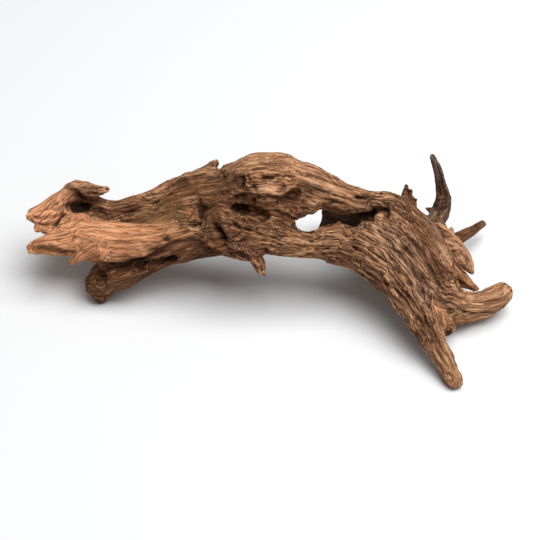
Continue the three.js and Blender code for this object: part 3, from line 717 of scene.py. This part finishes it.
def touch(tree, point):
    """Where the picture point meets the wood, in millimetres, or None."""
    hit = tree.ray_cast(Vector(EYE), picture_ray(point))[0]
    return None if hit is None else np.array(hit)


def dense(points, spacing):
    """The line through the points, with points no further apart than spacing."""
    out = [np.array(points[0], float)]
    for a, b in zip(points, points[1:]):
        a, b = np.array(a, float), np.array(b, float)
        n = max(1, int(math.ceil(np.linalg.norm(b - a) / spacing)))
        out += [a + (b - a) * k / n for k in range(1, n + 1)]
    return np.array(out)


def unit(vectors):
    """The vectors with length 1."""
    return vectors / np.maximum(np.linalg.norm(vectors, axis=1), SMALLEST)[:, None]


def dot(a, b):
    """Dot product of each pair of vectors."""
    return np.einsum("ij,ij->i", a, b)


class Skin:
    """The wood's surface as arrays: points in millimetres, four-sided faces, edges and normals."""

    def __init__(self, mesh):
        flat = np.empty(len(mesh.vertices) * 3, np.float32)
        mesh.vertices.foreach_get("co", flat)
        corners = np.empty(len(mesh.loops), np.int32)
        mesh.loops.foreach_get("vertex_index", corners)
        points = flat.reshape(-1, 3).astype(np.float64) / MM
        self.points, self.faces = largest(points, corners.reshape(-1, 4))
        sides = np.concatenate([self.faces[:, [k, (k + 1) % 4]] for k in range(4)])
        self.edges = np.unique(np.sort(sides, axis=1), axis=0)
        self.degree = np.bincount(self.edges.ravel(), minlength=len(self.points))
        self.normals = self.facing()

    def spread(self, values):
        """Mean of each point's neighbours."""
        n = len(self.points)
        a, b = self.edges[:, 0], self.edges[:, 1]
        if values.ndim == 1:
            total = np.bincount(a, values[b], n) + np.bincount(b, values[a], n)
            return total / self.degree
        return np.stack([self.spread(values[:, k]) for k in range(values.shape[1])], 1)

    def smooth(self, passes):
        """Round facets off without shrinking."""
        for _ in range(passes):
            for amount in SHRINK_AND_SWELL:
                self.points += amount * (self.spread(self.points) - self.points)
        self.normals = self.facing()

    def slide(self, passes):
        """Even the points out along the surface."""
        for _ in range(passes):
            off = 0.5 * (self.spread(self.points) - self.points)
            self.points += off - dot(off, self.normals)[:, None] * self.normals
            self.normals = self.facing()

    def bend(self):
        """How hollow the surface is in millimetres: above zero in grooves, below zero on ridges."""
        bend = dot(self.spread(self.points) - self.points, self.normals)
        return 0.6 * bend + 0.4 * self.spread(bend)

    def facing(self):
        """Normals of the points."""
        p = self.points[self.faces]
        across = np.cross(p[:, 2] - p[:, 0], p[:, 3] - p[:, 1])
        total = np.zeros_like(self.points)
        for k in range(4):
            for axis in range(3):
                total[:, axis] += np.bincount(self.faces[:, k], across[:, axis], len(total))
        return unit(total)

    def tree(self):
        """The surface for casting rays at."""
        return BVHTree.FromPolygons(self.points.tolist(), self.faces.tolist())


def largest(points, faces):
    """The points and faces of the largest joined piece."""
    label = np.arange(len(points))
    while True:
        least = label[faces].min(1)
        new = label.copy()
        np.minimum.at(new, faces.ravel(), np.repeat(least, 4))
        new = new[new]
        if np.array_equal(new, label):
            break
        label = new
    main_label = np.bincount(label).argmax()
    keep = label == main_label
    order = np.cumsum(keep) - 1
    return points[keep], order[faces[keep[faces[:, 0]]]]


class Flow:
    """The direction of the fibres on a coarse grid, and the nearest fibre line of any point."""

    CELL = 7.0  # in millimetres, as the next two
    MARGIN = 20.0
    LINE_STEP = 9.0
    SOFTENING = 20.0  # in square millimetres

    def __init__(self, knots):
        self.lines = [dense(route, self.LINE_STEP) for _, route in FIBRE_LINES.values()]
        self.shares = [np.array(shares) for shares, _ in FIBRE_LINES.values()]
        self.knots = knots
        self.low = np.array(CAD_BOX[0]) / MM - self.MARGIN
        high = np.array(CAD_BOX[1]) / MM + self.MARGIN
        self.shape = np.ceil((high - self.low) / self.CELL).astype(int) + 1
        axes = [self.low[k] + self.CELL * np.arange(self.shape[k]) for k in range(3)]
        nodes = np.stack(np.meshgrid(*axes, indexing="ij"), -1).reshape(-1, 3)
        self.grid = self.blend(nodes)[0].astype(np.float32)

    def near(self, points, k):
        """Squared distance, direction, length along and offset of the points from fibre line k."""
        line = self.lines[k]
        a, b = line[:-1], line[1:]
        step = b - a
        size = np.linalg.norm(step, axis=1)
        start = np.concatenate([[0], np.cumsum(size)[:-1]])
        best = np.full(len(points), np.inf)
        which = np.zeros(len(points), int)
        where = np.zeros(len(points))
        for j in range(len(a)):
            t = np.clip(((points - a[j]) @ step[j]) / size[j] ** 2, 0, 1)
            gap = points - a[j] - t[:, None] * step[j]
            d = dot(gap, gap)
            closer = d < best
            best[closer] = d[closer]
            which[closer] = j
            where[closer] = t[closer]
        direction = step / size[:, None]
        turn = np.gradient(direction, axis=0) if len(direction) > 1 else np.zeros_like(direction)
        tangent = unit(direction[which] + turn[which] * (where - 0.5)[:, None])
        foot = a[which] + where[:, None] * step[which]
        return best, tangent, start[which] + where * size[which], points - foot

    def blend(self, points):
        """Fibre direction and blended shares at the points, and their squared distances from the lines."""
        total = np.zeros((len(points), 3))
        shares = np.zeros((len(points), len(self.shares[0])))
        weight = np.zeros(len(points))
        gaps = np.zeros((len(points), len(self.lines)))
        for k, share in enumerate(self.shares):
            d, tangent, _, _ = self.near(points, k)
            w = 1 / (d + self.SOFTENING) ** 2
            total += w[:, None] * tangent
            shares += w[:, None] * share
            weight += w
            gaps[:, k] = d
        size = np.maximum(np.linalg.norm(total, axis=1), 1e-12)
        return total / size[:, None], shares / weight[:, None], gaps

    def part_round(self, points, along, centre, axis, radius):
        """Turn the fibres round a knot, in rings inside it."""
        off = points - centre
        depth = off @ axis
        flat = off - depth[:, None] * axis
        r = np.maximum(np.linalg.norm(flat, axis=1), 1e-6)
        out = flat / r[:, None]
        straight = along - (along @ axis)[:, None] * axis
        squeeze = np.minimum((radius / r) ** 2, 1.0)[:, None]
        around = straight + squeeze * (straight - 2 * dot(straight, out)[:, None] * out)
        ring = np.cross(axis, out)
        ring *= np.where(dot(ring, straight) < 0, -1.0, 1.0)[:, None]
        # how far the rings and the bend reach, in knot radii
        inside = ramp(r / radius, 1.25, 0.8)[:, None]
        bent = (1 - inside) * around + inside * ring
        reach = (ramp(r / radius, 4.0, 2.0) * ramp(np.abs(depth) / radius, 2.5, 1.5))[:, None]
        return unit(reach * bent + (1 - reach) * along)

    def at(self, points):
        """Fibre direction at the points, read from the grid."""
        q = np.clip((points - self.low) / self.CELL, 0, self.shape - 1.001)
        i = q.astype(np.int32)
        f = (q - i).astype(np.float32)
        ny, nz = int(self.shape[1]), int(self.shape[2])
        base = (i[:, 0] * ny + i[:, 1]) * nz + i[:, 2]
        total = np.zeros((len(points), 3), np.float32)
        for dx in (0, 1):
            for dy in (0, 1):
                for dz in (0, 1):
                    w = np.abs(1 - dx - f[:, 0]) * np.abs(1 - dy - f[:, 1]) * np.abs(1 - dz - f[:, 2])
                    total += w[:, None] * self.grid[base + (dx * ny + dy) * nz + dz]
        total /= np.maximum(np.linalg.norm(total, axis=1), 1e-6)[:, None]
        for centre, axis, radius in self.knots:
            near = np.nonzero(((points - centre) ** 2).sum(1) < (4 * radius) ** 2)[0]
            total[near] = self.part_round(points[near], total[near], centre, axis, radius)
        return total


def comb(points, flow, kinds):
    """Noise drawn out along the fibres. Each kind is (seed, spacing, reach), in millimetres."""
    grids = [lattice(seed) for seed, _, _ in kinds]
    totals = [cloud(g, points, spacing) for g, (_, spacing, _) in zip(grids, kinds)]
    steps = int(max(reach for _, _, reach in kinds) / COMB_STEP)
    for sign in (1, -1):
        p = points.copy()
        for n in range(1, steps + 1):
            p = p + sign * COMB_STEP * flow.at(p)
            for k, (_, spacing, reach) in enumerate(kinds):
                if n * COMB_STEP < reach:
                    fade = 0.5 + 0.5 * math.cos(math.pi * n * COMB_STEP / reach)
                    totals[k] += fade * cloud(grids[k], p, spacing)
    return [even(t) for t in totals]


def along_route(skin, tree, half, route):
    """The points near a picture route: their numbers, and closeness and place along it from 0 to 1."""
    found = [touch(tree, q) for q in dense(route, ROUTE_STEP)]
    line = np.array([p for p in found if p is not None])
    if len(line) < 2:
        raise RuntimeError(f"a route misses the wood at {route[0]}")
    low, high = line.min(0) - 3 * half, line.max(0) + 3 * half
    inside = np.all((skin.points > low) & (skin.points < high), axis=1)
    index = np.nonzero(inside & (skin.normals @ VIEW_BACK > FACES_EYE))[0]
    gap = ((skin.points[index][:, None, :] - line[None, :, :]) ** 2).sum(2)
    nearest = gap.argmin(1)
    close = np.exp(-gap[np.arange(len(index)), nearest] / half**2)
    return index, close, nearest / (len(line) - 1)


def strongest(skin, tree, rows):
    """The strongest of the rows at each point. Each row is half width, strength and picture points."""
    out = np.zeros(len(skin.points))
    for half, strength, route in rows:
        index, close, _ = along_route(skin, tree, half, route)
        out[index] = np.maximum(out[index], strength * close)
    return out


def carve(skin, tree):
    """Cut the strokes and ledges, lump the burls and push. Returns how deep the cuts are, and the dirt and
    painted shade that darken them.
    """
    cut = np.zeros(len(skin.points))
    dirt_and_shade = np.zeros(len(skin.points))
    for half, depth, route in STROKES:
        index, close, place = along_route(skin, tree, half, route)
        taper = np.minimum(1, 4 * np.minimum(place, 1 - place) + 0.35)
        cut[index] += depth * taper * close
        # narrow cuts darken with dirt and painted shade in the crack
        if half < NARROW:
            dirt_and_shade[index] += 0.15 * max(depth, 0) * taper * close**2
    for reach, depth, route in LEDGES:
        index, close, place = along_route(skin, tree, 1.6 * reach, route)
        flat, scale = picture(skin.points[index])
        off = right_of(flat, route) * scale
        taper = np.minimum(1, 5 * np.minimum(place, 1 - place) + 0.1)
        drop = ramp(off, -0.9, 0.9) * np.exp(-np.maximum(off, 0) / reach) * ramp(close, 0.05, 0.4)
        cut[index] += depth * taper * drop
        # painted shade at the foot of each ledge's drop
        dirt_and_shade[index] += 0.07 * depth * taper * drop * ramp(off, 4.0, 0.5)
    lump = patchy(skin.points, LUMPS) + 0.6 * patchy(skin.points, SMALL_LUMPS)
    rough = strongest(skin, tree, BURLS)
    skin.points += (rough * lump - cut)[:, None] * skin.normals
    for half, right, up, route in PUSHES:
        index, close, _ = along_route(skin, tree, half, route)
        skin.points[index] += close[:, None] * (right * VIEW_RIGHT + up * VIEW_UP)
    skin.normals = skin.facing()
    skin.slide(4)
    return cut, dirt_and_shade


def shade(skin):
    """How hidden each point is from open air, from 0 to 1, by feeling round it."""
    tree = skin.tree()
    dirs = unit(np.random.default_rng(FEELER_SEED).standard_normal((FEELERS, 3)))
    hidden = np.zeros(len(skin.points))
    start = skin.points + FEELER_START * skin.normals
    for n, (p, m) in enumerate(zip(start, skin.normals)):
        p = Vector(p)
        count = 0
        for d in dirs:
            d = Vector(d if d @ m > 0 else -d)
            if tree.ray_cast(p, d, FEELER_REACH)[0] is not None:
                count += 1
        hidden[n] = count / FEELERS
    for _ in range(3):
        hidden = 0.5 * hidden + 0.5 * skin.spread(hidden)
    return hidden


def straighten(skin, flow, gaps):
    """Corner coordinates along and across the fibre line that each face belongs to."""
    owner = gaps[skin.faces].mean(1).argmin(1)
    out = np.zeros((len(skin.faces), 4, 3), np.float32)
    for k in range(len(flow.lines)):
        mine = np.nonzero(owner == k)[0]
        if not len(mine):
            continue
        corners, back = np.unique(skin.faces[mine], return_inverse=True)
        _, tangent, along, off = flow.near(skin.points[corners], k)
        side = unit(np.cross(tangent, NEARLY_UP))
        top = np.cross(side, tangent)
        local = np.stack([along + LINE_SHIFT * k, dot(off, side), dot(off, top)], 1)
        out[mine] = local[back.ravel()].reshape(-1, 4, 3)
    return out.reshape(-1, 3)


def fine_skin(context, wood, shape):
    """The wood's surface in an even mesh, with the construction's facets rounded off."""
    remesh = wood.modifiers.new("pitch", "REMESH")
    remesh.mode = "VOXEL"
    remesh.voxel_size = shape.voxel
    graph = context.evaluated_depsgraph_get()
    skin = Skin(bpy.data.meshes.new_from_object(wood.evaluated_get(graph)))
    wood.modifiers.clear()
    skin.smooth(shape.smoothing)
    return skin


def find_knots(tree):
    """Centre, axis and radius of each knot, in millimetres."""
    knots = []
    for point, radius in KNOTS:
        centre, normal, _, _ = tree.ray_cast(Vector(EYE), picture_ray(point))
        if centre is None:
            raise RuntimeError(f"a knot misses the wood at {point}")
        knots.append((np.array(centre), np.array(normal), radius))
    return knots


def set_values(mesh, name, values):
    """Give the mesh one value at each point under that name, for the material."""
    layer = mesh.attributes.new(name, "FLOAT", "POINT")
    layer.data.foreach_set("value", values.astype(np.float32))


def put(tree, socket, value):
    """Link a socket to an output, or set it to a number or a colour."""
    if isinstance(value, bpy.types.NodeSocket):
        tree.links.new(value, socket)
    elif isinstance(value, float):
        socket.default_value = value
    else:
        socket.default_value = (*value, 1.0)


def node(tree, kind, **inputs):
    """A shader node with those inputs set."""
    made = tree.nodes.new(kind)
    for key, value in inputs.items():
        made.inputs[key.replace("_", " ")].default_value = value
    return made


def stored(tree, name, output="Fac"):
    """The values that the wood holds under that name."""
    made = tree.nodes.new("ShaderNodeAttribute")
    made.attribute_name = name
    return made.outputs[output]


def maths(tree, operation, *values):
    """One step of arithmetic."""
    made = tree.nodes.new("ShaderNodeMath")
    made.operation = operation
    for socket, value in zip(made.inputs, values):
        put(tree, socket, value)
    return made.outputs[0]


def blend_colour(tree, factor, a, b):
    """Colour a, turning to b with the factor."""
    made = tree.nodes.new("ShaderNodeMix")
    made.data_type = "RGBA"
    for socket, value in ((made.inputs[0], factor), (made.inputs[6], a), (made.inputs[7], b)):
        put(tree, socket, value)
    return made.outputs[2]


def span(tree, value, low, high, to_low=0.0, to_high=1.0):
    """Smooth step from to_low, where the value is low, to to_high."""
    made = tree.nodes.new("ShaderNodeMapRange")
    made.interpolation_type = "SMOOTHSTEP"
    tree.links.new(value, made.inputs[0])
    for k, number in enumerate((low, high, to_low, to_high)):
        made.inputs[k + 1].default_value = number
    return made.outputs[0]


def wood_material(colours):
    """Weathered mopani: brown heartwood with dark grooves, an orange split face and grey old twigs."""
    material = bpy.data.materials.new("mopani")
    material.use_nodes = True
    tree = material.node_tree
    tree.nodes.clear()
    out = tree.nodes.new("ShaderNodeOutputMaterial")
    skin = node(tree, "ShaderNodeBsdfPrincipled", Specular_IOR_Level=0.12)
    tree.links.new(skin.outputs[0], out.inputs[0])

    strand = stored(tree, "strand", "Vector")
    wobble = node(tree, "ShaderNodeTexNoise", Scale=0.06, Detail=2.0, Roughness=0.5)
    tree.links.new(strand, wobble.inputs["Vector"])
    shift = tree.nodes.new("ShaderNodeVectorMath")
    shift.operation = "MULTIPLY_ADD"
    tree.links.new(wobble.outputs["Color"], shift.inputs[0])
    shift.inputs[1].default_value = WOBBLE
    tree.links.new(strand, shift.inputs[2])

    def noise(along, across, detail=2.0):
        """Noise with that many lumps in a millimetre along and across the fibres."""
        squeeze = tree.nodes.new("ShaderNodeMapping")
        squeeze.inputs["Scale"].default_value = (along, across, across)
        tree.links.new(shift.outputs[0], squeeze.inputs["Vector"])
        made = node(tree, "ShaderNodeTexNoise", Scale=1.0, Detail=detail, Roughness=0.6)
        tree.links.new(squeeze.outputs[0], made.inputs["Vector"])
        return made.outputs["Fac"]

    def lines(value, width):
        """Thin lines where the value passes its middle."""
        off = maths(tree, "ABSOLUTE", maths(tree, "SUBTRACT", value, 0.5))
        return span(tree, off, 0.0, width, 1.0, 0.0)

    def times(a, b):
        return maths(tree, "MULTIPLY", a, b)

    fibre = noise(0.03, 0.7, 4.0)
    streak = noise(0.03, 0.3)
    blotch = noise(0.015, 0.04, 4.0)
    tint = noise(0.02, 0.09, 3.0)
    split = stored(tree, "split")
    rough = times(span(tree, split, 0.2, 1.0, 1.0, 0.6), stored(tree, "coarse"))
    here_and_there = span(tree, noise(0.05, 0.1), 0.42, 0.6, 0.4, 1.0)
    hair = times(times(lines(noise(0.02, 0.3, 3.0), 0.035), here_and_there), rough)
    grain_and_painted_light = stored(tree, "grain_and_painted_light")

    def fibres(low, high, strength):
        """Strength of a colour that shows in single fibres."""
        return times(span(tree, fibre, low, high, 0.0, strength), rough)

    streaks = span(tree, streak, 0.35, 0.65)
    layers = (
        (span(tree, tint, 0.45, 0.62, 0.0, 0.6), colours.russet),
        (split, blend_colour(tree, streaks, colours.split, colours.split_pale)),
        # lighter where the grain values are high: grain, wear and painted highlight on ridges
        (span(tree, grain_and_painted_light, 0.6, 2.4, 0.0, 0.4), colours.pale),
        (fibres(0.45, 0.35, 0.6), colours.pale),
        (stored(tree, "aged"), colours.aged),
        (span(tree, blotch, 0.46, 0.7, 0.0, 0.4), colours.streak),
        (span(tree, stored(tree, "dark"), 0.0, 1.0, 0.0, 0.8), colours.streak),
        (stored(tree, "olive"), colours.olive),
        (stored(tree, "ash"), colours.ash),
        (stored(tree, "red"), colours.red),
        # mostly painted shade, from the brown rows
        (stored(tree, "brown"), colours.streak),
        (stored(tree, "pale"), colours.pale),
        (stored(tree, "pink"), colours.split_pale),
        (stored(tree, "fresh"), colours.split),
        # darker where they are low: grain and painted shade in creases
        (span(tree, grain_and_painted_light, 0.4, -1.8, 0.0, 0.7), colours.streak),
        (fibres(0.45, 0.38, 0.4), colours.pale),
        (fibres(0.49, 0.57, 0.9), colours.streak),
        (fibres(0.56, 0.64, 0.7), colours.hollow),
        (hair, colours.hollow),
        # dirt and painted shade in grooves, cuts and hidden places
        (stored(tree, "groove"), colours.hollow),
    )
    brown = blend_colour(tree, streaks, colours.heartwood, colours.pale)
    for strength, paint in layers:
        brown = blend_colour(tree, strength, brown, paint)
    tree.links.new(brown, skin.inputs["Base Color"])
    tree.links.new(span(tree, fibre, 0.3, 0.7, 0.9, 0.7), skin.inputs["Roughness"])

    bump = node(tree, "ShaderNodeBump", Distance=BUMP_DEPTH)
    bump.invert = True
    height = maths(tree, "MULTIPLY_ADD", streak, -1.6, maths(tree, "ADD", fibre, hair))
    tree.links.new(height, bump.inputs["Height"])
    tree.links.new(rough, bump.inputs["Strength"])
    tree.links.new(bump.outputs[0], skin.inputs["Normal"])
    return material


class MOPANI_OT_wood(bpy.types.Operator):
    """Carve, comb and colour the wood"""

    bl_idname = "mopani.wood"
    bl_label = "Wood"

    def execute(self, context):
        shape = context.scene.wood_shape
        wood = bpy.data.objects.new("weathered_wood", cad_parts["mopani_wood"].data.copy())
        context.scene.collection.objects.link(wood)
        skin = fine_skin(context, wood, shape)
        tree = skin.tree()
        flow = Flow(find_knots(tree))
        _, shares, gaps = flow.blend(skin.points)
        split, aged, dark, black, weathered = shares.T
        strand = straighten(skin, flow, gaps)
        flute, groove, rib, fibre = comb(skin.points, flow, (FLUTES, GROOVES, RIBS, FIBRES))
        patch = patchy(skin.points, PATCHES)
        stains_and_shade = {name: strongest(skin, tree, rows) for name, rows in STAINS_AND_SHADE.items()}
        calm = 1 - 0.7 * strongest(skin, tree, [(half, 1.0, route) for half, route in CALM])
        cut, cut_dirt_and_shade = carve(skin, tree)

        # Lift the surface along the fibres: least on the split plank, most where the weather has worn it.
        endwise = dot(flow.at(skin.points), skin.normals) ** 2
        worn = weathered * calm * ramp(endwise, 0.8, 0.2)
        broken = ramp(patchy(skin.points, BREAKS), -0.3, 0.7)
        crack = ramp(np.abs(groove), 0.26, 0.0) * (0.25 + 0.85 * broken) * worn
        split_rib = ramp(np.abs(rib), 0.4, 0.0) * (0.6 + 0.5 * ramp(patch, -1.0, 1.0))
        lift = shape.flute_depth / MM * 0.32 * flute * (0.25 + 0.75 * worn)
        lift -= shape.groove_depth / MM * crack
        lift += shape.fibre_depth / MM * (0.3 + 0.7 * worn) * (0.8 * rib - 1.5 * split_rib + 0.8 * fibre)
        smooth = 1 - 0.65 * ramp(split, 0.2, 0.8)
        lift *= smooth

        # Torn fibres stand out at the broken ends.
        torn = ramp(endwise, 0.3, 0.8) * ramp(split, 0.3, 0.7)
        lift += torn * (1.4 * flute + 1.2 * np.tanh(3 * groove))
        skin.points += lift[:, None] * skin.normals
        skin.points[:, 2] = np.maximum(skin.points[:, 2], 0.0)
        skin.normals = skin.facing()
        mesh = bpy.data.meshes.new("weathered_wood")
        mesh.from_pydata((skin.points * MM).tolist(), [], skin.faces.tolist())
        wood.data = mesh

        # Pale on ridges, as wear and as painted highlight; dark in grooves, cuts and hidden places, as dirt
        # and painted shade.
        bend = skin.bend()
        # the grain, with the raised carved ridges lighter as wear and painted highlight
        grain_and_painted_light = even(0.7 * rib + 0.8 * fibre + 0.3 * groove - split_rib) + 0.3 * np.maximum(-cut, 0)
        # painted highlight on convex places and painted shade in creases, from the surface's bend
        grain_and_painted_light += 1.3 * ramp(-bend, 0.03, 0.35) - ramp(bend, 0.03, 0.35)
        # dirt and painted shade in cracks and cuts, and painted shade in places the feelers find hidden
        dirt_and_shade = 0.6 * crack + 0.1 * split_rib + cut_dirt_and_shade + 0.6 * ramp(shade(skin), 0.55, 1.1)
        # painted shade in the hollows of the surface
        dirt_and_shade += 0.3 * ramp(bend, 0.08, 0.45) * smooth
        # painted shade: the back root darkened as if in deep shadow, and the black rows
        dirt_and_shade += 0.85 * ramp(black, 0.2, 0.8) + stains_and_shade.pop("black")
        values = {
            "grain_and_painted_light": grain_and_painted_light * smooth,
            "groove": np.clip(dirt_and_shade, 0, 1),
            "coarse": 0.4 + 0.6 * calm,
            "split": ramp(split + 0.1 * patch, 0.15, 0.75),
            "aged": ramp(aged, 0.15, 0.8),
            "dark": ramp(dark + 0.12 * patch, 0.1, 0.75),
            **stains_and_shade,
        }
        for name, strength in values.items():
            set_values(mesh, name, strength)
        layer = mesh.attributes.new("strand", "FLOAT_VECTOR", "CORNER")
        layer.data.foreach_set("vector", strand.ravel())
        mesh.shade_smooth()
        mesh.materials.append(wood_material(context.scene.wood_colours))
        mesh.update()
        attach(wood, "root")
        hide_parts("mopani_wood")
        return {"FINISHED"}


class MOPANI_OT_stage(bpy.types.Operator):
    """Set the pale floor, the soft light and the camera"""

    bl_idname = "mopani.stage"
    bl_label = "Stage"

    def execute(self, context):
        scene = context.scene
        look = scene.stage_look
        floor_mesh = bpy.data.meshes.new("floor")
        corners = [(x * FLOOR_HALF, y * FLOOR_HALF, 0) for x, y in ((-1, -1), (1, -1), (1, 1), (-1, 1))]
        floor_mesh.from_pydata(corners, [], [(0, 1, 2, 3)])
        floor = bpy.data.objects.new("floor", floor_mesh)
        scene.collection.objects.link(floor)
        paint = bpy.data.materials.new("floor")
        paint.use_nodes = True
        skin = paint.node_tree.nodes["Principled BSDF"]
        skin.inputs["Roughness"].default_value = 0.9
        skin.inputs["Base Color"].default_value = (*look.floor, 1.0)
        floor_mesh.materials.append(paint)

        world = bpy.data.worlds.new("studio")
        world.use_nodes = True
        sky = world.node_tree.nodes["Background"]
        sky.inputs["Color"].default_value = (1, 1, 1, 1)
        sky.inputs["Strength"].default_value = look.fill
        scene.world = world

        lamp = bpy.data.lights.new("key", "AREA")
        lamp.energy = look.key_power
        lamp.size = look.key_size
        key = bpy.data.objects.new("key", lamp)
        key.location = KEY_PLACE
        key.rotation_euler = (Vector(KEY_AIM) - key.location).to_track_quat("-Z", "Y").to_euler()
        scene.collection.objects.link(key)

        eye = bpy.data.cameras.new("camera")
        eye.lens = LENS
        eye.sensor_width = SENSOR
        eye.clip_end = CAMERA_CLIP
        camera = bpy.data.objects.new("camera", eye)
        camera.location = EYE * MM
        camera.rotation_euler = (math.pi / 2 - CAMERA_TILT, 0, 0)
        scene.collection.objects.link(camera)
        scene.camera = camera
        scene.view_settings.view_transform = "Standard"
        return {"FINISHED"}


class MOPANI_PT_panel(bpy.types.Panel):
    """Sizes, colours and steps of the mopani wood"""

    bl_idname = "MOPANI_PT_panel"
    bl_label = "Mopani wood"
    bl_space_type = "VIEW_3D"
    bl_region_type = "UI"
    bl_category = "Mopani wood"

    def draw(self, context):
        for name, group in GROUPS:
            for field in group.__annotations__:
                self.layout.prop(getattr(context.scene, name), field)
        for operator in OPERATORS:
            self.layout.operator(operator.bl_idname)


GROUPS = (("wood_shape", WoodShape), ("wood_colours", WoodColours), ("stage_look", StageLook))
OPERATORS = (MOPANI_OT_wood, MOPANI_OT_stage)
CLASSES = tuple(group for _, group in GROUPS) + OPERATORS + (MOPANI_PT_panel,)


def register():
    for cls in CLASSES:
        bpy.utils.register_class(cls)
    for name, group in GROUPS:
        setattr(bpy.types.Scene, name, PointerProperty(type=group))


def unregister():
    for name, _ in GROUPS:
        delattr(bpy.types.Scene, name)
    for cls in reversed(CLASSES):
        bpy.utils.unregister_class(cls)


def main():
    register()
    bpy.ops.mopani.stage()
    bpy.ops.mopani.wood()


if __name__ == "__main__":
    main()
